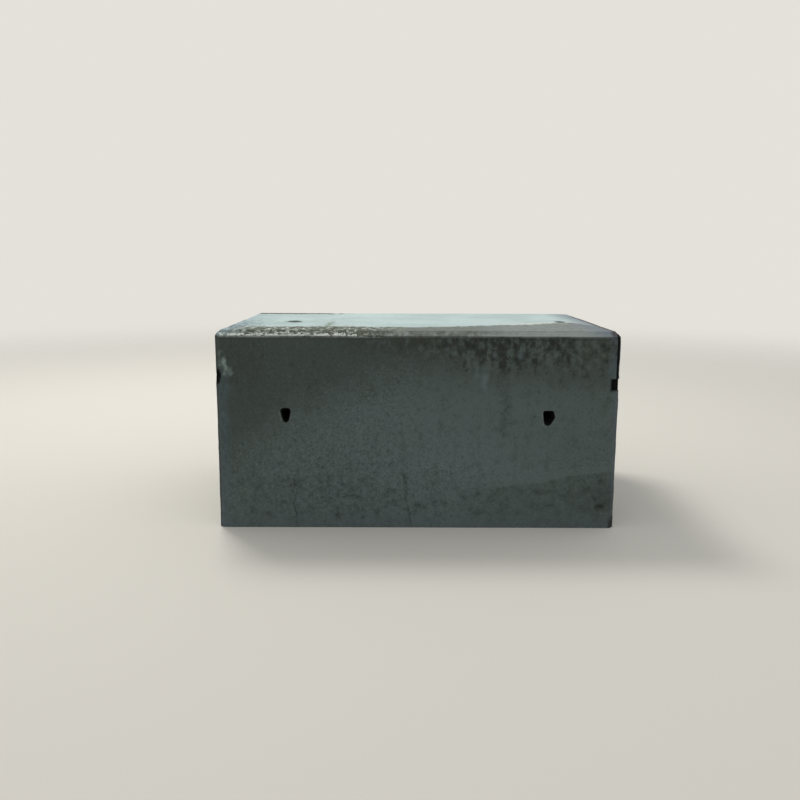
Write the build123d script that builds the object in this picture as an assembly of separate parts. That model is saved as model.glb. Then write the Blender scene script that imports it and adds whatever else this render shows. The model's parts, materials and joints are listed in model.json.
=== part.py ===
from build123d import *
import math
import os

os.makedirs("parts", exist_ok=True)

# A heavy concrete block, cast in one piece in a steel mould and long left out in the weather.
# Millimetres. X runs along the block, the weathered front face is at -Y, and Z is up.
# The origin is the centre of the underside.

# The mould
block_length = 1200
block_depth = 800
block_height = 600
top_arris = 15
upright_arris = 12

# Two tie holes run level through the block, where tubes round the mould's tie bars were pulled out
tie_bore = 20
tie_spacing = 786
tie_height = 345
mouth_depth = 45
back_mouth_width = 32
back_mouth_depth = 12

# The mouth of the left tie hole has crumbled to a blunt drop
drop_width = 29
drop_shift = -0.75
drop_corner = 9
drop_foot_radius = 8
drop_rise = 23.5
drop_fall = 18

# The mouth of the right one has crumbled to a shield, whose right cheek bulges
shield_width = 31
shield_shift = -1.5
shield_corner = 5
shield_cheek_reach = 17
shield_cheek_radius = 6
shield_cheek_drop = 1
shield_foot_radius = 11
shield_foot_shift = -3
shield_rise = 17.5
shield_fall = 25.5

# Two blind lifting sockets open in the top, and the left one has a broken mouth
socket_bore = 30
socket_depth = 120
socket_line = -30
left_socket_x = -405
right_socket_x = 487
socket_lip = 2
broken_mouth_length = 46
broken_mouth_width = 36
broken_mouth_depth = 14

# A mould strip left a square rebate in the front right arris, with a deeper notch at its foot
rebate_width = 11
rebate_depth = 9
rebate_foot = 459
notch_width = 25
notch_height = 34
notch_depth = 20

# A wedge is knocked off the front left arris, from its top and foot there to a tip on either face
wedge_top = 553
wedge_foot = 443
wedge_front_reach = 56
wedge_front_height = 472
wedge_side_reach = 18
wedge_side_height = 466

# Hollows: each is as long as it runs along its edge and as deep as it goes in from the sharp corner
nick_height = 462
nick_length = 56
nick_depth = 13
rear_top_right_length = 130
rear_top_right_depth = 38

half_length = block_length / 2
half_depth = block_depth / 2
front_face = Plane.XZ.offset(half_depth)


def cast_body():
    """The plain casting, with the bevels that the mould's corner strips leave."""
    body = extrude(Rectangle(block_length, block_depth), block_height)
    body = chamfer(body.edges().filter_by(Axis.Z), upright_arris)
    return chamfer(body.faces().sort_by(Axis.Z)[-1].edges(), top_arris)


def disc(x, level, radius):
    """A circle that begins and ends on its side towards the bore, where no tangent touches it."""
    seam = math.degrees(math.atan2(-level, -x))
    return Pos(x, level) * Rot(0, 0, seam) * Circle(radius)


def drop_outline():
    """Circles at the upper corners over one at the foot, joined by tangents."""
    reach = drop_width / 2 - drop_corner
    level = drop_rise - drop_corner
    left = disc(drop_shift - reach, level, drop_corner)
    right = disc(drop_shift + reach, level, drop_corner)
    foot = disc(0, drop_foot_radius - drop_fall, drop_foot_radius)
    return make_hull(left.edges() + right.edges() + foot.edges())


def shield_outline():
    """Circles at the upper corners, the right cheek and the foot, joined by tangents."""
    reach = shield_width / 2 - shield_corner
    level = shield_rise - shield_corner
    left = disc(shield_shift - reach, level, shield_corner)
    right = disc(shield_shift + reach, level, shield_corner)
    cheek_x = shield_cheek_reach - shield_cheek_radius
    cheek = disc(cheek_x, -shield_cheek_drop, shield_cheek_radius)
    foot = disc(shield_foot_shift, shield_foot_radius - shield_fall, shield_foot_radius)
    return make_hull(left.edges() + right.edges() + cheek.edges() + foot.edges())


def tie_hole(x, outline):
    """A round bore between a front mouth that narrows from its outline and a round back mouth."""
    place = Pos(x, tie_height)
    throat = front_face.offset(-mouth_depth) * place * Circle(tie_bore / 2)
    mouth = loft([front_face * place * outline, throat])
    bore = extrude(throat, mouth_depth + back_mouth_depth - block_depth)
    back_face = front_face.offset(-block_depth)
    back_throat = back_face.offset(back_mouth_depth) * place * Circle(tie_bore / 2)
    back_mouth = loft([back_face * place * Circle(back_mouth_width / 2), back_throat])
    return mouth + bore + back_mouth


def lifting_socket(x, mouth_length, mouth_width, mouth_deep):
    """A blind upright bore under a mouth that narrows to it from an oval in the top."""
    top = Plane.XY.offset(block_height)
    place = Pos(x, socket_line)
    throat = top.offset(-mouth_deep) * place * Circle(socket_bore / 2)
    bore = extrude(throat, mouth_deep - socket_depth)
    oval = Ellipse(mouth_length / 2, mouth_width / 2)
    return bore + loft([top * place * oval, throat])


def corner_rebate():
    """A square step down the front right arris from the top to its foot, and the notch under it."""
    corner = (half_length, -half_depth)
    step = Rectangle(2 * rebate_width, 2 * rebate_depth)
    step = extrude(Pos(*corner, rebate_foot) * step, block_height - rebate_foot)
    notch = Rectangle(2 * notch_width, 2 * notch_depth)
    notch = extrude(Pos(*corner, rebate_foot) * notch, -notch_height)
    return step + notch


def hollow(point, outward, length, depth):
    """The ball that breaks a shell-shaped hollow of this length and depth out of an edge."""
    radius = (length**2 / 4 + depth**2) / (2 * depth)
    centre = Vector(*point) + Vector(*outward).normalized() * (radius - depth)
    return Pos(*centre) * Sphere(radius)


def breaks():
    """What has been knocked off: a wedge and a nick from an arris, and a rear corner of the top."""
    left = -half_length
    right = half_length
    clear = 1
    triangle = Polygon(
        (left - clear, wedge_top),
        (left - clear, wedge_foot),
        (left + wedge_front_reach, wedge_front_height),
        align=None,
    )
    tip = Vertex(left - clear, wedge_side_reach - half_depth, wedge_side_height)
    return [
        loft([front_face.offset(clear) * triangle, tip], ruled=True),
        hollow((left, -half_depth, nick_height), (-1, -1, 0), nick_length, nick_depth),
        hollow(
            (right, half_depth, block_height), (1, 1, 1), rear_top_right_length, rear_top_right_depth
        ),
    ]


block = cast_body()
block -= tie_hole(-tie_spacing / 2, drop_outline())
block -= tie_hole(tie_spacing / 2, shield_outline())
block -= lifting_socket(left_socket_x, broken_mouth_length, broken_mouth_width, broken_mouth_depth)
lip_width = socket_bore + 2 * socket_lip
block -= lifting_socket(right_socket_x, lip_width, lip_width, socket_lip)
block -= corner_rebate()
for lump in breaks():
    block -= lump

block.label = "block"
export_step(block, "parts/block.step")
print(len(block.solids()), block.is_valid, block.volume)
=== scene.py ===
import json

import bpy
import numpy as np
from mathutils import Matrix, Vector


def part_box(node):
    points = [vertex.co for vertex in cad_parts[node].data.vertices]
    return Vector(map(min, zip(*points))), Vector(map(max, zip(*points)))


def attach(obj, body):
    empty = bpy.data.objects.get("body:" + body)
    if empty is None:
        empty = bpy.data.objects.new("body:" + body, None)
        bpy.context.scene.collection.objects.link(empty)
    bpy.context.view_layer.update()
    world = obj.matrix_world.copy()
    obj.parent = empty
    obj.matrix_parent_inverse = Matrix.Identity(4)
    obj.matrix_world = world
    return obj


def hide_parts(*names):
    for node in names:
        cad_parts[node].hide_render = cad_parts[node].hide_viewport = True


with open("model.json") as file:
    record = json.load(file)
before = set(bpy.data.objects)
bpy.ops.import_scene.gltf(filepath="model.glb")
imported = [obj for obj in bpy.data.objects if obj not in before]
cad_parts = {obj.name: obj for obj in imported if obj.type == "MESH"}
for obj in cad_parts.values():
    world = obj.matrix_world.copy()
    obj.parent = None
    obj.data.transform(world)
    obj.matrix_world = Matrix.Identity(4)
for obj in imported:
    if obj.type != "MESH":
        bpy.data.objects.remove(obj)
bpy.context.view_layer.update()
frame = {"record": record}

mm = 0.001
scene = bpy.context.scene
scene.view_settings.view_transform = "Standard"


# The camera stands a little left of the block's middle, some 2.5 m in front of it and 0.8 m up, and
# looks slightly down. Its place and lens fit the photograph's outline.
camera_place = (-59.4 * mm, -2873.5 * mm, 815.9 * mm)
camera_down = np.radians(9.658)
camera_aside = np.radians(0.164)
camera_roll = np.radians(0.223)
focal_pixels = 843.1
photo_pixels = 800

camera_data = bpy.data.cameras.new("camera")
camera_data.sensor_width = 36
camera_data.lens = focal_pixels / photo_pixels * camera_data.sensor_width
camera = bpy.data.objects.new("camera", camera_data)
scene.collection.objects.link(camera)
camera.matrix_world = (
    Matrix.Translation(camera_place)
    @ Matrix.Rotation(-camera_aside, 4, "Z")
    @ Matrix.Rotation(np.pi / 2 - camera_down, 4, "X")
    @ Matrix.Rotation(camera_roll, 4, "Z")
)
scene.camera = camera


# The block's sizes: one casting of plain concrete, struck from a mould with bevelled corners. Its
# box, holes and sockets are the frame's, and the mould's bevels and the breaks are given here.
low, high = (np.array(corner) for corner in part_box("block"))
half_length, half_depth, height = high
mounts = {mount["name"]: mount for mount in frame["record"]["mounts"]}
front = -half_depth
upright_arris = 12 * mm
top_arris = 15 * mm
rebate_width = 11 * mm
rebate_depth = 9 * mm
rebate_foot = 459 * mm
notch_width = 25 * mm
notch_depth = 20 * mm
notch_height = 34 * mm
wedge_top = 553 * mm
wedge_foot = 443 * mm
wedge_reach = 56 * mm
patch = 36 * mm


def lines(*stops):
    """Places of the grid lines along one axis: one on every stop, and even steps between two stops,
    none longer than the pitch that the first of them gives."""
    spans = []
    for (start, pitch), (stop, _) in zip(stops, stops[1:]):
        count = int(np.ceil((stop - start) / pitch - 0.001))
        spans.append(np.linspace(start, stop, count, endpoint=False))
    return np.append(np.concatenate(spans), stops[-1][0])


edge_pitch = 3.2 * mm
hole_pitch = 6 * mm
length_pitch = 7.7 * mm
depth_pitch = 12.5 * mm
height_pitch = 6.5 * mm
step = 0.6 * mm

tie_x, _, tie_z = mounts["tie_hole_right"]["pos_m"]
left_socket_x, socket_y, _ = mounts["lifting_socket_left"]["pos_m"]
right_socket_x = mounts["lifting_socket_right"]["pos_m"][0]

x_lines = lines(
    (-half_length, edge_pitch),
    (-half_length + upright_arris, edge_pitch),
    (-half_length + wedge_reach, length_pitch),
    (left_socket_x - patch, hole_pitch),
    (-tie_x + patch, length_pitch),
    (tie_x - patch, hole_pitch),
    (tie_x + patch, length_pitch),
    (right_socket_x - patch, hole_pitch),
    (right_socket_x + patch, length_pitch),
    (half_length - notch_width - step, step * 2),
    (half_length - notch_width + step, hole_pitch),
    (half_length - rebate_width - step, step * 2),
    (half_length - rebate_width + step, edge_pitch),
    (half_length, None),
)
y_lines = lines(
    (-half_depth, edge_pitch),
    (-half_depth + rebate_depth, edge_pitch),
    (-half_depth + notch_depth, depth_pitch),
    (socket_y - patch, hole_pitch),
    (socket_y + patch, depth_pitch),
    (half_depth - upright_arris, edge_pitch),
    (half_depth, None),
)
z_lines = lines(
    (0, height_pitch),
    (tie_z - patch, hole_pitch),
    (tie_z + patch, height_pitch),
    (rebate_foot - notch_height - step, step * 2),
    (rebate_foot - notch_height + step, edge_pitch),
    (rebate_foot - step, step * 2),
    (rebate_foot + step, edge_pitch),
    (wedge_top, height_pitch),
    (height - top_arris, edge_pitch),
    (height, None),
)
axis_lines = (x_lines, y_lines, z_lines)


# The holes: two tie holes run level through the block, where the mould's tie bars went, and two
# lifting sockets open in its top. Each mouth has crumbled, and is given from the axis of the bore.
mouth_depth = 45 * mm
back_mouth_depth = 12 * mm
back_mouth_radius = 16 * mm
lip = 1.6 * mm
drop_circles = [((-6.25, 14.5), 9), ((4.75, 14.5), 9), ((0, -10), 8)]
shield_circles = [((-12, 12.5), 5), ((9, 12.5), 5), ((11, -1), 6), ((-3, -14.5), 11)]
broken_socket = (23 * mm, 18 * mm)
broken_socket_depth = 14 * mm
sound_socket = (17 * mm, 17 * mm)
sound_socket_depth = 2 * mm
rim_directions = 720
least_cosine = 0.05


def hull_rim(circles):
    """The reach, at any angle, of the hull of circles given as centre and radius in millimetres:
    the least, over all directions, of the circles' reach that way over the cosine between the
    direction and the angle."""
    facing = np.linspace(-np.pi, np.pi, rim_directions, endpoint=False)
    reach = np.max(
        [x * np.cos(facing) + z * np.sin(facing) + r for (x, z), r in circles], axis=0
    )

    def rim(angle):
        cosine = np.cos(angle[:, None] - facing)
        reaches = np.where(cosine > least_cosine, reach / np.maximum(cosine, least_cosine), np.inf)
        return reaches.min(axis=1) * mm

    return rim


def oval_rim(across, along):
    """The reach of an ellipse at any angle: the product of its half axes, over the root of the sum
    of the squares of each times the other's sine or cosine."""
    return lambda angle: across * along / np.hypot(along * np.cos(angle), across * np.sin(angle))


sheets = []
fans = []


def lay(points, kept=None, skin=True):
    """Puts down one grid of points, which faces outwards where its rows cross its columns turning
    left, less the cells that aren't kept. Skin is the block's outer face, not a bore's wall."""
    if kept is None:
        kept = np.ones((points.shape[0] - 1, points.shape[1] - 1), bool)
    sheets.append((points, kept, skin))


def face_points(u_axis, v_axis, level, u, v):
    """Points on a face, from their places along the face's two axes and its level on the third."""
    points = np.empty(np.broadcast(u, v).shape + (3,))
    points[..., u_axis] = u
    points[..., v_axis] = v
    points[..., 3 - u_axis - v_axis] = level
    return points


ring_rows = 8
ring_crowding = 1.4


def lay_face(u_axis, v_axis, level, holes=()):
    """A face as a grid of its axes' lines. Each hole, given as its centre and rim, takes a square
    of cells out, which rows of points close again. The rows lie at even shares of the way from the
    rim to the square, raised to the crowding. Returns the rims."""
    u_lines, v_lines = axis_lines[u_axis], axis_lines[v_axis]
    u_middle = (u_lines[1:] + u_lines[:-1])[:, None] / 2
    v_middle = (v_lines[1:] + v_lines[:-1])[None, :] / 2
    kept = np.ones((len(u_lines) - 1, len(v_lines) - 1), bool)
    rims = []
    for (u_centre, v_centre), rim in holes:
        kept &= (abs(u_middle - u_centre) > patch) | (abs(v_middle - v_centre) > patch)
        us = u_lines[abs(u_lines - u_centre) < patch + step / 2]
        vs = v_lines[abs(v_lines - v_centre) < patch + step / 2]
        around_u = np.concatenate([us[:-1], vs[:-1] * 0 + us[-1], us[:0:-1], vs * 0 + us[0]])
        around_v = np.concatenate([us[:-1] * 0 + vs[0], vs[:-1], us[:0:-1] * 0 + vs[-1], vs[::-1]])
        angle = np.arctan2(around_v - v_centre, around_u - u_centre)
        reach = rim(angle) + lip
        share = np.linspace(0, 1, ring_rows)[:, None] ** ring_crowding
        u = (u_centre + reach * np.cos(angle)) * (1 - share) + around_u * share
        v = (v_centre + reach * np.sin(angle)) * (1 - share) + around_v * share
        lay(face_points(u_axis, v_axis, level, u, v))
        rims.append((angle, rim(angle)))
    u, v = np.meshgrid(u_lines, v_lines, indexing="ij")
    lay(face_points(u_axis, v_axis, level, u, v), kept)
    return rims


left_tie = (-tie_x, tie_z)
right_tie = (tie_x, tie_z)
left_socket = (left_socket_x, socket_y)
right_socket = (right_socket_x, socket_y)
back_rim = oval_rim(back_mouth_radius, back_mouth_radius)
X, Y, Z = range(3)

tie_rims = lay_face(
    X, Z, -half_depth, [(left_tie, hull_rim(drop_circles)), (right_tie, hull_rim(shield_circles))]
)
lay_face(Z, X, half_depth, [(left_tie[::-1], back_rim), (right_tie[::-1], back_rim)])
socket_rims = lay_face(
    X, Y, height, [(left_socket, oval_rim(*broken_socket)), (right_socket, oval_rim(*sound_socket))]
)
lay_face(Y, X, 0)
lay_face(Y, Z, half_length)
lay_face(Z, Y, -half_length)


def flare(depth, rim, bore, taper):
    """The radius of a bore at a depth: from the rim it narrows evenly to the bore over the taper,
    and a worn lip widens its first millimetre or two as the square of what is left of the lip."""
    narrowing = np.clip(1 - depth / taper, 0, 1)
    rounding = np.clip(1 - depth / lip, 0, 1) ** 2
    return bore + (rim - bore) * narrowing + lip * rounding


# Each bore's wall is laid as rings at these depths, which crowd together at its mouths.
lip_depths = np.array([0, 0.2, 0.5, 0.9, 1.6, 3, 6, 11, 18]) * mm
taper_depths = np.array([27, 36, 45]) * mm
run_depths = np.linspace(80, 745, 12) * mm
tie_bore = mounts["tie_hole_left"]["dims"]["r_mm"] * mm
tie_depths = np.concatenate(
    [lip_depths, taper_depths, run_depths, 2 * half_depth - lip_depths[::-1]]
)
for (x, z), (angle, rim) in zip((left_tie, right_tie), tie_rims):
    depth = tie_depths[:, None]
    near_radius = flare(depth, rim, tie_bore, mouth_depth)
    far_radius = flare(2 * half_depth - depth, back_mouth_radius, tie_bore, back_mouth_depth)
    radius = np.maximum(near_radius, far_radius)
    lay(
        face_points(
            X, Z, depth - half_depth, x + radius * np.cos(angle), z + radius * np.sin(angle)
        )[::-1],
        skin=False,
    )

for place, (angle, rim), taper, name in (
    (left_socket, socket_rims[0], broken_socket_depth, "lifting_socket_left"),
    (right_socket, socket_rims[1], sound_socket_depth, "lifting_socket_right"),
):
    mount = mounts[name]
    floor_z = mount["pos_m"][2] - mount["dims"]["length_mm"] * mm / 2
    socket_depth = height - floor_z
    depths = np.concatenate([lip_depths, np.linspace(30 * mm, socket_depth, 7)])[:, None]
    radius = flare(depths, rim, mount["dims"]["r_mm"] * mm, taper)
    wall = face_points(
        X, Y, height - depths, place[0] + radius * np.cos(angle), place[1] + radius * np.sin(angle)
    )
    lay(wall[::-1], skin=False)
    fans.append((wall[-1, :-1], np.array([*place, floor_z])))


# The weld: every grid's points in one list, where points at the same place become one.
weld_grid = 0.01 * mm
all_points = []
all_quads = []
skin_points = []
count = 0
for grid, kept, skin in sheets:
    rows, columns = grid.shape[:2]
    first = count + np.arange(rows * columns).reshape(rows, columns)
    corners = (first[:-1, :-1], first[1:, :-1], first[1:, 1:], first[:-1, 1:])
    all_quads.append(np.stack(corners, axis=-1)[kept])
    all_points.append(grid.reshape(-1, 3))
    skin_points.append(np.full(rows * columns, skin))
    count += rows * columns
all_triangles = []
for ring, middle in fans:
    first = count + np.arange(len(ring))
    all_triangles.append(
        np.stack([first, np.roll(first, -1), np.full(len(ring), count + len(ring))], axis=-1)
    )
    all_points.append(np.vstack([ring, middle]))
    skin_points.append(np.zeros(len(ring) + 1, bool))
    count += len(ring) + 1
all_points = np.concatenate(all_points)
places = np.round(all_points / weld_grid).astype(np.int64)
_, chosen, welded = np.unique(places, axis=0, return_index=True, return_inverse=True)
welded = welded.ravel()
box_points = all_points[chosen]
is_skin = np.zeros(len(box_points), bool)
is_skin[welded[np.concatenate(skin_points)]] = True
quads = welded[np.concatenate(all_quads)]
triangles = welded[np.concatenate(all_triangles)]


# The relief: what the mould, the trowel, the weather and knocks did to the casting's plain box.
def chance(cell, seed):
    """One value from 0 to 1 for each whole-number place: its three numbers and the seed times large
    primes, combined bit by bit and shifted, and the last 32 bits taken as a fraction."""
    mixed = cell[..., 0] * 73856093 ^ cell[..., 1] * 19349663 ^ cell[..., 2] * 83492791
    mixed = (mixed ^ seed * 2654435761) & 0xFFFFFFFF
    for _ in range(2):
        mixed = (mixed ^ mixed >> 15) * 739982445 & 0xFFFFFFFF
    return (mixed ^ mixed >> 14) / 0xFFFFFFFF


def lumps(p, size, seed):
    """Smooth random values from -1 to 1 that change over this size: each corner of a cubic lattice
    has a chance value, and a point takes its cell's eight, mixed by 3t^2 - 2t^3 on each axis."""
    place = p / size
    cell = np.floor(place).astype(np.int64)
    t = place - cell
    t = t * t * (3 - 2 * t)
    total = 0
    for corner in np.ndindex(2, 2, 2):
        weight = np.prod(np.where(corner, t, 1 - t), axis=-1)
        total = total + weight * chance(cell + np.array(corner), seed)
    return 2 * total - 1


def rough(p, size, seed, layers=4):
    """Lumps of this size with finer ones on them, each layer half as large and half as high."""
    scales = 0.5 ** np.arange(layers)
    total = sum(s * lumps(p, size * s, seed + i) for i, s in enumerate(scales))
    return total / np.sqrt(np.sum(scales**2))


def ramp(value, start, stop):
    """0 at the start, 1 at the stop, and 3t^2 - 2t^3 between them."""
    t = np.clip((value - start) / (stop - start), 0, 1)
    return t * t * (3 - 2 * t)


def bubbles(p, cell_size, smallest, largest, share, seed):
    """How deep each point lies in an air bubble cut open by the mould's face: this share of the
    lattice's cells hold one ball each, of chance place and size, and the depth is its radius less
    the distance to its centre."""
    cell = np.floor(p / cell_size).astype(np.int64)
    deepest = np.zeros(len(p))
    for shift in np.ndindex(3, 3, 3):
        near_cell = cell + np.array(shift) - 1
        centre = np.stack([chance(near_cell, seed + axis) for axis in range(3)], axis=-1)
        centre = (near_cell + centre) * cell_size
        radius = smallest + (largest - smallest) * chance(near_cell, seed + 3) ** 3
        depth = radius - np.linalg.norm(p - centre, axis=-1)
        depth = np.where(chance(near_cell, seed + 4) < share, depth, 0)
        deepest = np.maximum(deepest, depth)
    return deepest


def broken_ball(point, outward, length, depth):
    """Centre and radius of the ball that breaks a hollow of this length and depth out of an edge at
    a point: the radius is the sum of the half length's and the depth's squares over twice the
    depth, and the centre lies the radius less the depth outwards."""
    radius = (length**2 / 4 + depth**2) / (2 * depth)
    outward = np.array(outward) / np.linalg.norm(outward)
    return np.array(point) + outward * (radius - depth), radius


nick_height = 462 * mm
nick_length = 56 * mm
nick_depth = 13 * mm
nick = broken_ball((-half_length, front, nick_height), (-1, -1, 0), nick_length, nick_depth)
corner_length = 130 * mm
corner_depth = 38 * mm
rear_corner = broken_ball(high, (1, 1, 1), corner_length, corner_depth)

clear = 1 * mm
wedge_front = np.array([-half_length + wedge_reach, front - clear, 472 * mm])
wedge_side = np.array([-half_length - clear, front + 18 * mm, 466 * mm])
wedge_ends = [
    np.array([-half_length - clear, front - clear, end]) for end in (wedge_top, wedge_foot)
]


def in_wedge(p):
    """How deep points lie in the wedge knocked off the front left arris: the lesser of their depths
    behind its two planes, which meet in the line between its tips on the two faces."""
    depths = []
    for end, other in (wedge_ends, wedge_ends[::-1]):
        normal = np.cross(wedge_side - wedge_front, end - wedge_front)
        normal *= np.sign(normal @ (other - wedge_front)) / np.linalg.norm(normal)
        depths.append((p - wedge_front) @ normal)
    return np.minimum(*depths)


def in_ball(p, ball):
    """How deep points lie in a ball: its radius less their distance from its centre."""
    centre, radius = ball
    return radius - np.linalg.norm(p - centre, axis=1)


def in_step(p, width, depth, foot, top):
    """How deep points lie in a square step of this width and depth, cut into the front right arris
    between two heights: the least of their distances behind its faces."""
    x, y, z = p.T
    into = np.minimum(x - half_length + width, front + depth - y)
    return np.minimum(into, np.minimum(z - foot, top - z))


def in_steps(p):
    """How deep points lie in the rebate or in the notch at its foot, whichever is the deeper."""
    return np.maximum(
        in_step(p, rebate_width, rebate_depth, rebate_foot, 2 * height),
        in_step(p, notch_width, notch_depth, rebate_foot - notch_height, rebate_foot),
    )


def outside(p, wear):
    """How far points lie outside the casting: the greatest of their distances to its faces and,
    with the wear added, to its bevels, and of their depths in the breaks, the rebate and the
    notch."""
    x, y, z = abs(p[:, 0]), abs(p[:, 1]), p[:, 2]
    root = np.sqrt(2)
    return np.max(
        [
            x - half_length,
            y - half_depth,
            z - height,
            -z,
            (x + y - half_length - half_depth + upright_arris + wear) / root,
            (x + z - half_length - height + top_arris + wear) / root,
            (y + z - half_depth - height + top_arris + wear) / root,
            in_ball(p, nick),
            in_ball(p, rear_corner),
            in_wedge(p),
            in_steps(p),
        ],
        axis=0,
    )


# The box's points slide inwards, slantwise near an edge, until none lies outside the casting. The
# wear of the bevels fades out towards the sharp foot.
slide_reach = 40 * mm
slides = 80
wear_depth = 3.0 * mm
wear_roughness = 0.6 * mm
skin = box_points[is_skin]
low_gap = skin - low
high_gap = high - skin
gap = np.minimum(low_gap, high_gap)
inward = np.where(low_gap < high_gap, 1, -1) * np.clip(1 - gap / slide_reach, 0, 1)
inward /= np.linalg.norm(inward, axis=1)[:, None]
wear = wear_depth * np.clip(rough(skin, 70 * mm, 11), 0, 1)
wear = wear + wear_roughness * rough(skin, 16 * mm, 12)
wear *= ramp(skin[:, 2], 0, 60 * mm)
cast = skin.copy()
for _ in range(slides):
    cast += inward * np.maximum(outside(cast, wear), 0)[:, None]
x, y, z = cast.T

# Where the top, the base and the front lie, and what is broken or shaded. The wedge's scar is fresh
# and pale from its tip on the front to 20 or 30 mm from there, down and to the left.
scar_start = (-545 * mm, 472 * mm)
scar_way = (-0.824, -0.567)
is_top = ramp(z, height - top_arris - 1 * mm, height - top_arris + 1 * mm)
is_base = 1 - ramp(z, 0, 3 * mm)
is_front = ramp(-y, half_depth - 16 * mm, half_depth - 13 * mm) * (1 - is_top)
near_edge = 1 - ramp(np.sort(gap, axis=1)[:, 1], 0, 30 * mm)
fresh = ramp(in_wedge(cast), -1.2 * mm, -0.4 * mm)
scar_depth = (x - scar_start[0]) * scar_way[0] + (z - scar_start[1]) * scar_way[1]
scar = fresh * ramp(scar_depth, 30 * mm, 20 * mm)
in_nick = ramp(in_ball(cast, nick), -1.5 * mm, 0)
knocked = np.maximum.reduce([in_nick, ramp(in_ball(cast, rear_corner), -1.5 * mm, 0), fresh])
# Where shade is painted near black: the nick, the rebate and the notch.
shaded = np.maximum(in_nick * (1 - fresh), ramp(in_steps(cast), -1.0 * mm, -0.2 * mm))

# The dirt on the top lies in a band along its front, the crust in that band's left part, and a pour
# line, where one load of concrete met the next, crosses the lower right of the front.
band_points = np.array(
    [
        (-600, -330),
        (-577, -238),
        (-483, -270),
        (-362, -262),
        (-208, -254),
        (-102, -262),
        (9, -257),
        (121, -228),
        (199, -192),
        (266, -162),
        (370, -131),
        (455, -77),
        (519, -58),
        (562, -147),
        (600, -330),
    ]
)
pour_points = np.array(
    [
        (-600, 170),
        (-300, 150),
        (-100, 135),
        (70, 116),
        (161, 114),
        (191, 120),
        (267, 128),
        (297, 136),
        (342, 138),
        (388, 142),
        (424, 154),
        (460, 164),
        (535, 170),
        (600, 177),
    ]
)
band_edge = np.interp(x, *(band_points * mm).T) + 14 * mm * rough(cast, 60 * mm, 21)
dirt = is_top * ramp(band_edge - y, -16 * mm, 16 * mm)
crust = dirt * (1 - ramp(x, -190 * mm, -60 * mm)) * ramp(x, -half_length, -560 * mm)
pour_height = np.interp(x, *(pour_points * mm).T)
pour = is_front * ramp(x, 180 * mm, 260 * mm) * ramp(pour_height - z, 5 * mm, -5 * mm)

# The bug holes are shallower on the weathered front. Every other unevenness is given as where it
# lies, its height and its lumps' size in millimetres, and its seed and layers.
crust_height = 0.6 * mm
chipping = 0.8 * mm
pour_step = 0.8 * mm
deepest_pit = 4 * mm
formed = (1 - is_top) * (1 - is_base)
pits = bubbles(cast, cell_size=46 * mm, smallest=3 * mm, largest=9 * mm, share=0.5, seed=31)
pits *= formed * (1 - knocked) * (1 - 0.55 * is_front)
relief = crust * crust_height + pour * pour_step - np.minimum(pits, deepest_pit)
for where, amount, size, seed, layers in (
    (formed, 0.5, 240, 41, 2),
    (formed, 0.18, 22, 42, 4),
    (is_top, 0.7, 190, 43, 2),
    (is_top, 0.3, 26, 44, 4),
    (crust, 1.4, 24, 45, 4),
    (knocked * (1 - is_base), 0.9, 14, 46, 4),
):
    relief += where * amount * mm * rough(cast, size * mm, seed, layers)
relief -= near_edge * (1 - is_base) * chipping * np.clip(rough(cast, 24 * mm, 47), 0, 1)
block_points = box_points.copy()
block_points[is_skin] = cast - inward * relief[:, None]

mesh = bpy.data.meshes.new("block_cast")
mesh.from_pydata(block_points, [], quads.tolist() + triangles.tolist())
mesh.polygons.foreach_set("use_smooth", np.ones(len(mesh.polygons), bool))
mesh.set_sharp_from_angle(angle=np.radians(38))


def paint(name, values, bore):
    """Stores one number at each point of the block's skin, and one for all its bores, where its
    material reads them."""
    stored = np.full(len(block_points), bore, np.float32)
    stored[is_skin] = values
    mesh.attributes.new(name, "FLOAT", "POINT").data.foreach_set("value", stored)


paint("top", is_top, 0)
paint("scar", scar, 0)
paint("shaded", shaded, 1)
paint("pit", np.clip(pits / (2.5 * mm), 0, 1), 0)

block = bpy.data.objects.new("cast_block", mesh)
scene.collection.objects.link(block)
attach(block, "root")
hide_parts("block")


# The concrete: grey cement and sand, cast against steel, then years of rain, algae and soot. The
# sides are dark and dull with an olive or blue cast, partly weathering and partly painted shade,
# and the trowelled top is pale and bluish, partly bleached cement and partly painted skylight.
def colour(code):
    """A colour written as sRGB hex, as linear light: under 0.04045 it is divided by 12.92, and
    above it the value plus 0.055, over 1.055, is raised to 2.4."""
    part = np.array([int(code[i : i + 2], 16) / 255 for i in (1, 3, 5)])
    linear = np.where(part <= 0.04045, part / 12.92, ((part + 0.055) / 1.055) ** 2.4)
    return (*linear, 1.0)


def add(tree, kind, inputs=(), **settings):
    """Adds one node: settings are its own properties, and inputs gives a socket, by name or
    number, a value or the output that feeds it."""
    made = tree.nodes.new(kind)
    for name, value in settings.items():
        setattr(made, name, value)
    for key, value in dict(inputs).items():
        if isinstance(value, bpy.types.NodeSocket):
            tree.links.new(value, made.inputs[key])
        else:
            made.inputs[key].default_value = value
    return made


concrete = bpy.data.materials.new("weathered_cast_concrete")
concrete.use_nodes = True
tree = concrete.node_tree
tree.nodes.clear()
place = add(tree, "ShaderNodeTexCoord").outputs["Object"]
across, into, up = add(tree, "ShaderNodeSeparateXYZ", {0: place}).outputs


def both(held, *shares):
    """How far several shares hold together at a point: their product."""
    for share in shares:
        held = add(tree, "ShaderNodeMath", {0: held, 1: share}, operation="MULTIPLY").outputs[0]
    return held


def either(held, *shares):
    """How far at least one of several shares holds at a point: the greatest."""
    for share in shares:
        held = add(tree, "ShaderNodeMath", {0: held, 1: share}, operation="MAXIMUM").outputs[0]
    return held


def sum_of(start, *terms):
    """The start plus each term's value times its weight."""
    for value, weight in terms:
        start = add(
            tree, "ShaderNodeMath", {0: value, 1: weight, 2: start}, operation="MULTIPLY_ADD"
        ).outputs[0]
    return start


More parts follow.
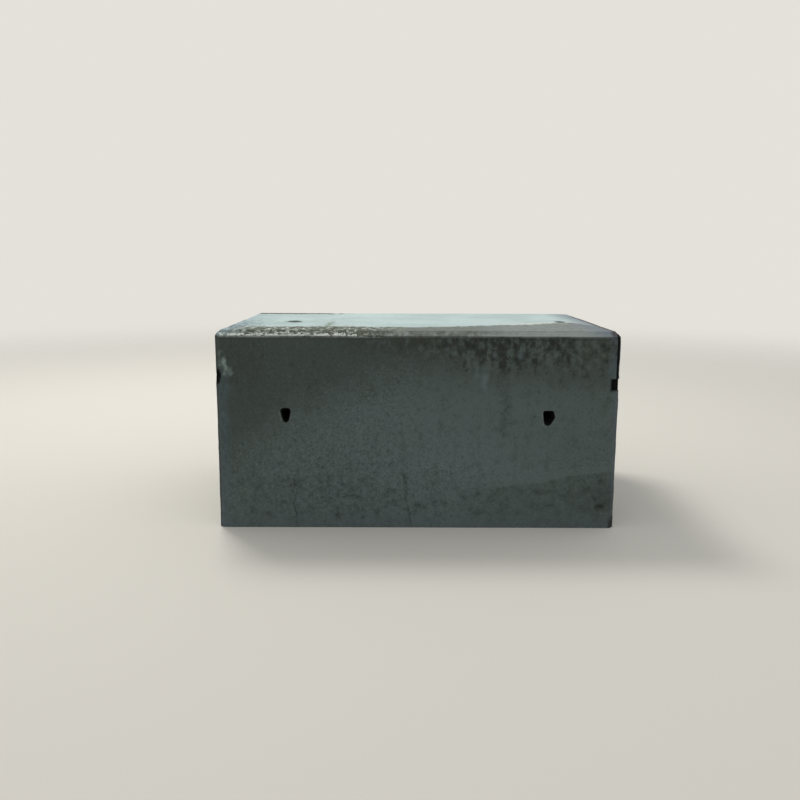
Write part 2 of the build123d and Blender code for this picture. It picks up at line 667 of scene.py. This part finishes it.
def step_between(value, start, stop):
    """0 at the start, 1 at the stop, and 3t^2 - 2t^3 between them."""
    return add(
        tree,
        "ShaderNodeMapRange",
        {"Value": value, "From Min": start, "From Max": stop},
        interpolation_type="SMOOTHSTEP",
    ).outputs["Result"]


def mottle(size, detail=3.0, vector=place, stretch=(1, 1, 1), output="Fac", roughness=0.55):
    """Mottling whose lumps are about this size, longer along an axis whose stretch is under 1: a
    noise at one over the size, read at the coordinates times the stretch."""
    if stretch != (1, 1, 1):
        vector = add(tree, "ShaderNodeVectorMath", {0: vector, 1: stretch}, operation="MULTIPLY")
        vector = vector.outputs["Vector"]
    return add(
        tree,
        "ShaderNodeTexNoise",
        {"Vector": vector, "Scale": 1 / size, "Detail": detail, "Roughness": roughness},
    ).outputs[output]


def wander(size, amount, vector=place):
    """Coordinates shifted at random by up to this amount over this size: mottling less a half,
    times twice the amount, is added to them."""
    shift = add(
        tree,
        "ShaderNodeVectorMath",
        {0: mottle(size, 2, vector, output="Color"), 1: (0.5, 0.5, 0.5)},
        operation="SUBTRACT",
    )
    return add(
        tree,
        "ShaderNodeVectorMath",
        {0: shift.outputs["Vector"], 1: (2 * amount,) * 3, 2: vector},
        operation="MULTIPLY_ADD",
    ).outputs["Vector"]


def along(value, points):
    """The second number of a row of points in millimetres, read straight between them by the
    first."""
    points = np.array(points) * mm
    low_end, high_end = points.min(axis=0), points.max(axis=0)
    portion = add(
        tree,
        "ShaderNodeMapRange",
        {"Value": value, "From Min": low_end[0], "From Max": high_end[0]},
    )
    curve = add(tree, "ShaderNodeFloatCurve", {"Value": portion.outputs["Result"]})
    shares = (points - low_end) / (high_end - low_end)
    line = curve.mapping.curves[0]
    for _ in shares[2:]:
        line.points.new(0.5, 0.5)
    for point, share in zip(line.points, shares):
        point.location = share
        point.handle_type = "VECTOR"
    curve.mapping.update()
    return add(
        tree,
        "ShaderNodeMapRange",
        {"Value": curve.outputs["Value"], "To Min": low_end[1], "To Max": high_end[1]},
    ).outputs["Result"]


def spot(centre, reach, core=0.2, vector=place):
    """1 within the core of an oval about a centre and 0 beyond its reach, both in millimetres: the
    length of the way from the centre, with each axis over its reach, goes from 1 to the core."""
    per_reach = 1 / (np.array(reach, float) * mm)
    local = add(
        tree,
        "ShaderNodeVectorMath",
        {0: vector, 1: per_reach, 2: -np.array(centre, float) * mm * per_reach},
        operation="MULTIPLY_ADD",
    )
    length = add(
        tree, "ShaderNodeVectorMath", {0: local.outputs["Vector"]}, operation="LENGTH"
    )
    return step_between(length.outputs["Value"], 1.0, core)


def front_spot(x, z, half_width, half_height, core=0.2, vector=place):
    """A spot on the front face that reaches 60 mm in, so that the back doesn't share it."""
    return spot((x, front / mm, z), (half_width, 60, half_height), core, vector)


def stain(under, over, *shares):
    """One colour, given as its hex code or an output, laid over another as far as all the shares
    hold."""
    under, over = (colour(tone) if isinstance(tone, str) else tone for tone in (under, over))
    return add(
        tree, "ShaderNodeMixRGB", {"Fac": both(*shares), "Color1": under, "Color2": over}
    ).outputs["Color"]


# What the mesh stores at its points, and three sets of shifted coordinates: ragged ones for wide
# stains, frayed ones for blots and crisp ones for narrow lines.
top, scarred, painted_deep_shade, pit = (
    add(tree, "ShaderNodeAttribute", attribute_name=name).outputs["Fac"]
    for name in ("top", "scar", "shaded", "pit")
)
ragged = wander(60 * mm, 22 * mm)
frayed = wander(12 * mm, 5 * mm, ragged)
crisp = wander(14 * mm, 3 * mm)
ragged_x, _, ragged_z = add(tree, "ShaderNodeSeparateXYZ", {0: ragged}).outputs
frayed_x, frayed_y, frayed_z = add(tree, "ShaderNodeSeparateXYZ", {0: frayed}).outputs
crisp_x, _, crisp_z = add(tree, "ShaderNodeSeparateXYZ", {0: crisp}).outputs
on_front = step_between(into, front + 20 * mm, front + 15 * mm)

# Sides: an olive film over the upper part, reaching lowest at the left, and a bluer, paler grey
# where the rain has washed it. A rise is how far a point lies above a line, and a stain gives its
# colour, its strength and where it lies. Sand of 1 or 2 mm is drawn at 5.5 mm, or it wouldn't show.
cloud = mottle(260 * mm, 5)
blotch = mottle(26 * mm, 3, stretch=(1, 1, 0.7))
run = mottle(16 * mm, 3, stretch=(1, 1, 0.09))
pores = mottle(13 * mm, 4, roughness=0.68)
grain = mottle(9 * mm, 4, roughness=0.7)
sand = mottle(5.5 * mm, 2, roughness=0.6)
film_points = [
    (-600, 195),
    (-531, 240),
    (-380, 350),
    (-231, 405),
    (-97, 475),
    (130, 500),
    (350, 485),
    (600, 480),
]
film_rise = sum_of(ragged_z, (along(ragged_x, film_points), -1.0))
film = add(
    tree,
    "ShaderNodeMix",
    {
        "Factor": on_front,
        "A": step_between(cloud, 0.4, 0.62),
        "B": step_between(film_rise, -140 * mm, 105 * mm),
    },
).outputs["Result"]
# The sides' base greys are darker than the cement itself: they hold painted shade as well as the
# film.
side = stain("#4e5956", "#39423d", film)
side = stain(side, "#272d28", 0.4, front_spot(-525, 515, 130, 150, 0.2, ragged))
side = stain(side, "#262a25", 0.72, front_spot(0, 610, 340, 130, 0.2, ragged))
side = stain(side, "#2d3430", 0.2, front_spot(-510, 140, 180, 110, 0.2, ragged))
side = stain(side, "#525e5c", 0.58, front_spot(205, 325, 410, 190, 0.1))
side = stain(side, "#5f6d6b", 0.2, front_spot(-90, 290, 380, 190, 0.2))
side = stain(side, "#5f6d6b", 0.46, front_spot(170, 95, 450, 270, 0.3))

# The cement's own mottling, from blotches to grains of sand. The film and the right middle of the
# front are calm, and only a quarter of the pale mottling and of the dark sand shows there.
calm = either(film, front_spot(290, 400, 470, 290, 0.4))
bare = sum_of(1.0, (calm, -0.75))
side = stain(side, "#4b5a5b", 0.45, bare, step_between(blotch, 0.45, 0.7))
side = stain(side, "#38443d", 0.45, step_between(blotch, 0.48, 0.25))
side = stain(side, "#38403c", 0.28, step_between(run, 0.52, 0.76))
side = stain(side, "#2a302c", 0.5, step_between(grain, 0.48, 0.28))
side = stain(side, "#65726f", 0.4, bare, step_between(grain, 0.53, 0.72))
side = stain(side, "#272d2a", 0.45, bare, step_between(sand, 0.5, 0.25))
side = stain(side, "#6a7774", 0.5, bare, step_between(sand, 0.5, 0.75))

# The foot: a damp, darker load of concrete under the pour line, which is sharp at the right and
# blurred at the left, a pale lip over the line, and coarse mottling with dark pores at the left.
pour_rise = sum_of(crisp_z, (along(across, pour_points), -1.0))
pour_blur = add(
    tree,
    "ShaderNodeMapRange",
    {
        "Value": across,
        "From Min": 60 * mm,
        "From Max": 230 * mm,
        "To Min": 50 * mm,
        "To Max": 2.5 * mm,
    },
).outputs["Result"]
blurred_rise = add(
    tree, "ShaderNodeMath", {0: pour_rise, 1: pour_blur}, operation="DIVIDE"
).outputs[0]
under_pour = both(step_between(blurred_rise, 1.0, -1.0), on_front)
damp = sum_of(0.06, (step_between(across, 60 * mm, 260 * mm), 0.3))
side = stain(side, "#39433c", under_pour, damp)
side = stain(side, "#2c322d", 0.3, front_spot(600, 90, 190, 110, 0.2, ragged))
clump = mottle(31 * mm, 4, roughness=0.65)
side = stain(side, "#2f3833", 0.55, under_pour, step_between(clump, 0.5, 0.32))
side = stain(side, "#57635f", 0.55, under_pour, step_between(clump, 0.52, 0.68))
pale_lip = both(
    step_between(pour_rise, 0, 4 * mm),
    step_between(pour_rise, 34 * mm, 8 * mm),
    step_between(across, 150 * mm, 300 * mm),
)
side = stain(side, "#58645f", 0.35, on_front, pale_lip)
side = stain(side, "#545f60", 0.35, on_front, step_between(ragged_z, 50 * mm, 28 * mm))
coarse = front_spot(-220, 155, 480, 190, 0.25, ragged)
side = stain(side, "#29312c", 0.7, coarse, step_between(pores, 0.47, 0.3))
side = stain(side, "#606e6d", 0.5, coarse, step_between(pores, 0.52, 0.66))

# Mould hangs down from the upper arris in ragged, crowded blots, thickest right of the middle. They
# crowd together where it is thick, because its share is added before they are cut off at a level.
mould_points = [
    (-600, 590),
    (-260, 565),
    (-171, 525),
    (-53, 490),
    (65, 455),
    (119, 435),
    (239, 395),
    (303, 420),
    (386, 420),
    (480, 400),
    (560, 410),
    (600, 440),
]
mould_rise = sum_of(frayed_z, (along(ragged_x, mould_points), -1.0))
mould = both(step_between(mould_rise, -10 * mm, 120 * mm), on_front)
thick = sum_of(0.45, (front_spot(290, 570, 330, 190, 0.1), 0.55))
small_blots = mottle(18 * mm, 4, crisp, (1, 1, 0.75), roughness=0.62)
clusters = mottle(55 * mm, 2, stretch=(1, 1, 0.8))
blots = sum_of(0.0, (small_blots, 0.78), (clusters, 0.22))
crowded = sum_of(blots, (both(mould, thick), 0.19))
side = stain(side, "#363b33", 0.58, mould)
side = stain(side, "#171c18", 0.88, step_between(crowded, 0.6, 0.78))
side = stain(side, "#55625d", 0.45, mould, step_between(blots, 0.48, 0.4))
# A thin dark band runs along the front just under the top bevel.
side = stain(side, "#20241f", 0.35, on_front, step_between(up, 570 * mm, 584 * mm))


# Between the blots the rain has rinsed a few pale, bluish drips and patches.
def front_marks(marks, blur, core=0.0, vector=frayed):
    """The shares of marks on the front, one at a time, so that the renderer holds few at once. Each
    mark gives its place, half width and half height in millimetres and its strength, and fades
    out at blur times its size."""
    for x, z, half_width, half_height, strength in marks:
        yield both(front_spot(x, z, blur * half_width, blur * half_height, core, vector), strength)


drips = [
    (199, 452, 13, 34, 0.55),
    (172, 470, 8, 22, 0.35),
    (103, 533, 10, 11, 0.4),
    (86, 545, 8, 9, 0.3),
    (301, 531, 12, 12, 0.5),
    (398, 540, 8, 18, 0.45),
    (227, 531, 8, 13, 0.45),
    (150, 500, 8, 20, 0.3),
]
dripping = 0.0
for drip in front_marks(drips, blur=1.6):
    dripping = either(dripping, drip)
side = stain(side, "#5d6c6f", dripping)

# Single dark marks on the front: blots low in the mould, one long run under them, and the specks,
# pores and smears of the foot. Each crumbles with the grain.
marks = [
    (-133, 422, 9, 13, 0.4),
    (-168, 395, 7, 12, 0.35),
    (-330, 427, 6, 9, 0.35),
    (-370, 496, 7, 8, 0.35),
    (-307, 508, 8, 9, 0.25),
    (-300, 376, 6, 6, 0.45),
    (-82, 356, 7, 7, 0.45),
    (296, 495, 12, 22, 0.7),
    (279, 483, 14, 8, 0.5),
    (353, 490, 7, 16, 0.6),
    (286, 540, 9, 12, 0.7),
    (259, 575, 15, 12, 0.8),
    (306, 566, 14, 14, 0.7),
    (218, 569, 16, 10, 0.7),
    (186, 545, 9, 16, 0.6),
    (425, 454, 8, 10, 0.6),
    (262, 385, 16, 110, 0.28),
    (-36, 152, 8, 15, 0.5),
    (-33, 118, 6, 14, 0.6),
    (-209, 177, 6, 5, 0.6),
    (-150, 165, 9, 6, 0.5),
    (-289, 130, 6, 6, 0.5),
    (-179, 96, 9, 6, 0.7),
    (-206, 97, 20, 3.5, 0.5),
    (-289, 96, 5, 5, 0.5),
    (-121, 93, 5, 5, 0.4),
    (-448, 76, 5, 6, 0.35),
    (-243, 48, 5, 8, 0.4),
    (-522, 79, 10, 12, 0.3),
    (-408, 158, 5, 5, 0.4),
    (-523, 256, 8, 7, 0.4),
    (38, 181, 7, 5, 0.4),
    (68, 156, 14, 7, 0.35),
    (115, 172, 9, 5, 0.35),
    (202, 172, 6, 6, 0.4),
    (155, 103, 6, 5, 0.5),
    (10, 62, 16, 16, 0.4),
    (360, 69, 12, 12, 0.3),
    (553, 66, 15, 12, 1.0),
    (540, 92, 9, 10, 0.45),
    (566, 84, 7, 8, 0.4),
]
marked = 0.0
for mark in front_marks(marks, blur=1.6):
    marked = either(marked, mark)
crumbly = sum_of(0.35, (step_between(grain, 0.6, 0.42), 0.85))
side = stain(side, "#1a201c", marked, crumbly)

# Two hairline cracks rise from the foot, one curls down from the left hole and one lies low right.
# Each is drawn up to 5 mm to either side, or it wouldn't show, and is given as its strength and the
# heights and the x of its line in millimetres.
crack_paths = [
    (0.65, [(16, -367), (42, -365), (73, -375), (95, -366), (111, -376), (136, -370), (158, -371)]),
    (0.6, [(24, -20), (49, -22), (87, -35), (112, -29), (143, -33), (178, -44)]),
    (0.35, [(266, -338), (278, -344), (297, -360), (324, -369)]),
    (0.45, [(84, 541), (104, 532), (121, 524), (135, 516), (150, 503), (162, 491)]),
]
crack_taper = 12 * mm
broken_line = sum_of(0.3, (step_between(mottle(22 * mm, 2), 0.42, 0.6), 0.7))
for strength, points in crack_paths:
    offset = sum_of(crisp_x, (along(up, points), -1.0))
    offset = add(tree, "ShaderNodeMath", {0: offset}, operation="ABSOLUTE").outputs[0]
    crack_foot, crack_head = points[0][0] * mm, points[-1][0] * mm
    crack = both(
        step_between(offset, 5 * mm, 0),
        step_between(up, crack_foot - crack_taper, crack_foot),
        step_between(up, crack_head + crack_taper, crack_head),
    )
    side = stain(side, "#1c221e", strength, on_front, broken_line, crack)

# The arrises are blue-grey in broken streaks. The left one has a dark outer line, and the foot of
# the right one is black.
streaks = mottle(9 * mm, 3, stretch=(1, 1, 0.5), roughness=0.65)
left_arris_blue = both(
    on_front,
    step_between(ragged_x, -550 * mm, -578 * mm),
    step_between(ragged_z, 520 * mm, 420 * mm),
)
side = stain(side, "#445257", 0.35, left_arris_blue)
side = stain(side, "#5e6f74", 0.22, left_arris_blue, step_between(streaks, 0.48, 0.66))
right_arris_blue = both(
    on_front,
    step_between(across, 560 * mm, 572 * mm),
    step_between(up, 430 * mm, 470 * mm),
    step_between(streaks, 0.36, 0.56),
)
side = stain(side, "#515f64", 0.45, right_arris_blue)
side = stain(side, "#252d31", 0.55, on_front, step_between(crisp_x, -588 * mm, -594 * mm))
right_edge = both(
    on_front,
    step_between(crisp_x, 574 * mm, 588 * mm),
    step_between(up, 470 * mm, 400 * mm),
    step_between(streaks, 0.38, 0.56),
)
side = stain(side, "#474c58", 0.45, right_edge)
side = stain(side, "#171413", 0.9, spot((600, -400, 8), (26, 60, 44), 0.5, frayed))

# Both tie holes keep a thin pale rim, broken away here and there.
hole_rims = [
    (373.5, 350, 3, 16, 0.35),
    (376, 323, 3.5, 7, 0.4),
    (-412, 352, 3, 14, 0.25),
    (-408, 336, 3.5, 8, 0.25),
    (-376, 340, 3.5, 8, 0.25),
]
for hole_rim in front_marks(hole_rims, blur=1.0, core=0.1, vector=crisp):
    side = stain(side, "#86827a", hole_rim)

# Top: cement whiter and bluer than the sides, partly bleached and partly painted skylight, and
# slate blue at its two ends, the left end's being painted shade. The left end is streaked as well,
# most near the front.
pale = stain("#a7b7b4", "#b3c4c0", step_between(cloud, 0.4, 0.6))
pale = stain(pale, "#93a39f", 0.45, step_between(blotch, 0.52, 0.75))
smudges = mottle(17 * mm, 4, stretch=(1, 0.3, 1), roughness=0.68)
to_front = step_between(into, 300 * mm, -330 * mm)
to_left = step_between(ragged_x, -440 * mm, -600 * mm)
# Painted shade: slate blue over the top's left end, with dark streaks that grow towards the front.
left_end_shade = both(to_left, sum_of(0.4, (to_front, 0.6)))
pale = stain(pale, "#6d8289", 0.85, left_end_shade)
pale = stain(pale, "#41545e", left_end_shade, to_front, step_between(smudges, 0.46, 0.6))
pale = stain(pale, "#b9c6c6", left_end_shade, step_between(smudges, 0.46, 0.34))
left_half = step_between(across, 0, -350 * mm)
pale = stain(pale, "#87988f", 0.5, left_half, step_between(smudges, 0.55, 0.7))

# A band of settled dirt runs along the front of the top, olive and mossy on the left and plain on
# the right, where its rear edge has bleached. The bevel sheds some of it and is paler. The slate
# blue of the right end lies over it.
fray_reach = 55 * mm
band_fray = mottle(24 * mm, 3, stretch=(1, 0.35, 1), roughness=0.65)
band_rise = sum_of(
    -fray_reach, (along(frayed_x, band_points), 1.0), (frayed_y, -1.0), (band_fray, 2 * fray_reach)
)
bleached = both(
    step_between(band_rise, -80 * mm, -20 * mm), step_between(across, 220 * mm, 330 * mm)
)
pale = stain(pale, "#c9cabf", 0.7, bleached)
on_bevel = step_between(up, 599.5 * mm, 597 * mm)
grime = stain("#6a716d", "#787f7b", step_between(blotch, 0.4, 0.6))
grime = stain(grime, "#8b918c", 0.85, on_bevel)
grime = stain(
    grime, "#4f5650", sum_of(0.65, (on_bevel, -0.4)), step_between(grain, 0.52, 0.32)
)
olive = both(step_between(ragged_x, 300 * mm, 120 * mm), step_between(blotch, 0.3, 0.55))
grime = stain(grime, "#565a49", 0.7, olive)
scruff = mottle(13 * mm, 4, stretch=(0.8, 0.35, 1), roughness=0.7)
grime = stain(grime, "#3f463b", 0.5, olive, step_between(scruff, 0.48, 0.62))
in_band = step_between(band_rise, -24 * mm, 20 * mm)
pale = stain(pale, grime, 0.95, in_band, step_between(ragged_x, -600 * mm, -460 * mm))
pale = stain(pale, "#67707b", 0.7, step_between(ragged_x, 480 * mm, 575 * mm))
mossy = both(
    step_between(band_rise, -40 * mm, 10 * mm),
    step_between(ragged_x, 0, -195 * mm),
    step_between(ragged_x, -575 * mm, -500 * mm),
)
pale = stain(pale, "#3e4232", mossy, step_between(scruff, 0.44, 0.57))
pale = stain(pale, "#b2b8ad", mossy, step_between(scruff, 0.48, 0.38))

# Damp spreads faintly from the left socket, a smear of moss crosses the band's edge beside it, and
# each socket has a dark, damp rim.
pale = stain(pale, "#76877f", 0.35, spot((-430, -120, 600), (120, 170, 60), 0.0, frayed))
smear = spot((-278, -170, 600), (20, 240, 60), 0.1, ragged)
pale = stain(pale, "#66715c", smear, step_between(scruff, 0.36, 0.58))
for centre, reach in (((-405, -45, 600), (36, 76, 60)), ((487, -16, 600), (25, 60, 60))):
    pale = stain(pale, "#465c58", 0.8, spot(centre, reach, 0.3, frayed))

# Lime has bloomed in a white line of flecks on the front arris, from its left end to the middle. It
# thins out upwards over the bevel and towards the middle, where its flecks are cut off higher.
lime_height = 591 * mm
lime_thinning = 14.0
fleck = mottle(11 * mm, 4, frayed, (0.75, 1, 1), roughness=0.7)
lime = sum_of(
    lime_thinning * lime_height,
    (up, -lime_thinning),
    (fleck, 1.0),
    (step_between(ragged_x, -260 * mm, -100 * mm), -0.13),
    (step_between(ragged_x, -120 * mm, -60 * mm), -0.2),
)
front_bevel = both(
    on_bevel,
    step_between(across, -598 * mm, -580 * mm),
    step_between(into, front + 40 * mm, front + 20 * mm),
)
pale = stain(pale, "#5d6356", 0.35, front_bevel, step_between(ragged_x, -60 * mm, -170 * mm))
pale = stain(pale, "#cdd2c9", front_bevel, step_between(lime, 0.465, 0.56))

# The top's rear left edge is dark brown in broken patches, and its right edge is dark.
rear_left = both(
    step_between(into, 280 * mm, 345 * mm), step_between(ragged_x, -60 * mm, -420 * mm)
)
rear_left_brown = step_between(sum_of(0.0, (rear_left, 1.2), (blotch, 1.6)), 1.35, 1.9)
rear_left_grain = sum_of(0.45, (step_between(pores, 0.36, 0.52), 0.55))
pale = stain(pale, "#32251e", rear_left_brown, rear_left_grain, step_between(into, 270 * mm, 300 * mm))
right_rim = both(
    step_between(crisp_x, 566 * mm, 578 * mm), step_between(into, 330 * mm, 150 * mm)
)
pale = stain(pale, "#3d3536", 0.8, right_rim)

# The whole surface: the top on the sides, the fresh pale scar of the wedge with its brightest
# chips, which are partly pale fracture and partly painted highlights, dirt in the bug holes, and
# painted deep shade in the nick, the rebate and the holes.
surface = stain(side, pale, top)
surface = stain(surface, "#4a5957", 0.4, scarred)
# Bright spots on the scar: pale fresh fracture with painted highlights where its facets would catch
# light; the three on the arris are painted highlights.
scar_chips_and_highlights = [
    (-575, 503, 7, 18, 0.9),
    (-569, 487, 7, 10, 0.8),
    (-553, 474, 12, 6, 0.33),
    (-557, 485, 8, 8, 0.35),
    (-549, 467, 7, 7, 0.25),
    (-570, 468, 7, 11, 0.65),
    (-587, 491, 4, 4, 0.6),
    (-588, 505, 4, 7, 0.3),
    (-588, 536, 6, 10, 0.3),
]
for bright_spot in front_marks(scar_chips_and_highlights, blur=1.5):
    surface = stain(surface, "#7c8b83", bright_spot)
surface = stain(surface, "#1b1f1d", 0.8, pit)
# Painted shade: near black over the nick, and in the rebate, the notch and the bores.
nick_shade = spot((-600, -400, 464), (20, 50, 30), 0.6, crisp)
surface = stain(surface, "#060606", 0.97, nick_shade)
surface = stain(surface, "#0c0b0b", 0.95, painted_deep_shade)

# Cement's IOR is about 1.5 and its surface is rough. The shaded hollows reflect next to nothing.
bump = add(
    tree,
    "ShaderNodeBump",
    {"Height": sum_of(blotch, (grain, 0.6)), "Distance": 1.2 * mm, "Strength": 0.7},
)
shader = add(
    tree,
    "ShaderNodeBsdfPrincipled",
    {
        "Base Color": surface,
        "Roughness": 0.9,
        "IOR": 1.5,
        "Specular IOR Level": sum_of(0.5, (either(nick_shade, painted_deep_shade), -0.4)),
        "Normal": bump.outputs["Normal"],
    },
)
add(tree, "ShaderNodeOutputMaterial", {"Surface": shader.outputs["BSDF"]})
mesh.materials.append(concrete)


# The floor and the room: a pale studio floor that runs out into a pale background.
floor_reach = 14.0
fade_start = 2.2
fade_end = 8.5
floor_mesh = bpy.data.meshes.new("studio_floor")
around = np.linspace(0, 2 * np.pi, 96, endpoint=False)
rim_points = np.stack([np.cos(around), np.sin(around), around * 0], axis=-1) * floor_reach
floor_mesh.from_pydata(rim_points, [], [list(range(len(around)))])
floor_material = bpy.data.materials.new("pale_floor_paint")
floor_material.use_nodes = True
floor_tree = floor_material.node_tree
floor_tree.nodes.clear()
floor_paint = add(
    floor_tree, "ShaderNodeBsdfPrincipled", {"Base Color": colour("#d5d0c5"), "Roughness": 0.9}
)
floor_place = add(floor_tree, "ShaderNodeTexCoord").outputs["Object"]
from_middle = add(floor_tree, "ShaderNodeVectorMath", {0: floor_place}, operation="LENGTH")
fading = add(
    floor_tree,
    "ShaderNodeMapRange",
    {"Value": from_middle.outputs["Value"], "From Min": fade_start, "From Max": fade_end},
    interpolation_type="SMOOTHERSTEP",
)
clear = add(floor_tree, "ShaderNodeBsdfTransparent")
floor_mix = add(
    floor_tree,
    "ShaderNodeMixShader",
    {0: fading.outputs["Result"], 1: floor_paint.outputs["BSDF"], 2: clear.outputs["BSDF"]},
)
add(floor_tree, "ShaderNodeOutputMaterial", {"Surface": floor_mix.outputs["Shader"]})
floor_mesh.materials.append(floor_material)
floor = bpy.data.objects.new("studio_floor", floor_mesh)
scene.collection.objects.link(floor)

world = bpy.data.worlds.new("studio")
world.use_nodes = True
scene.world = world
sky = world.node_tree
sky.nodes.clear()
ray = add(sky, "ShaderNodeLightPath")
seen = add(
    sky,
    "ShaderNodeMath",
    {0: ray.outputs["Is Camera Ray"], 1: ray.outputs["Is Glossy Ray"]},
    operation="MAXIMUM",
).outputs[0]
seen = add(
    sky, "ShaderNodeMath", {0: seen, 1: ray.outputs["Is Transmission Ray"]}, operation="MAXIMUM"
).outputs[0]
backdrop = add(sky, "ShaderNodeBackground", {"Color": colour("#e4e1da"), "Strength": 1.0})
fill = add(sky, "ShaderNodeBackground", {"Color": colour("#f4f7fb"), "Strength": 0.75})
mixed = add(
    sky,
    "ShaderNodeMixShader",
    {0: seen, 1: fill.outputs["Background"], 2: backdrop.outputs["Background"]},
)
add(sky, "ShaderNodeOutputWorld", {"Surface": mixed.outputs["Shader"]})


# The key lamp: a large soft box high up, behind the block and to its left. It makes the top bright,
# leaves the front in the room's even light and throws a soft shadow to the right.
lamp_data = bpy.data.lights.new("key_softbox", "AREA")
lamp_data.shape = "SQUARE"
lamp_data.size = 1.5
lamp_data.energy = 150
lamp_data.color = colour("#fffefc")[:3]
lamp = bpy.data.objects.new("key_softbox", lamp_data)
scene.collection.objects.link(lamp)
lamp_place = np.array([-1.7, 2.3, 4.9])
toward = np.array([0, 0, height / 2]) - lamp_place
side_way = np.cross(toward, (0, 0, 1))
side_way /= np.linalg.norm(side_way)
back_way = -toward / np.linalg.norm(toward)
up_way = np.cross(back_way, side_way)
lamp.matrix_world = Matrix(
    [[*row, place] for row, place in zip(np.stack([side_way, up_way, back_way], 1), lamp_place)]
    + [[0, 0, 0, 1]]
)
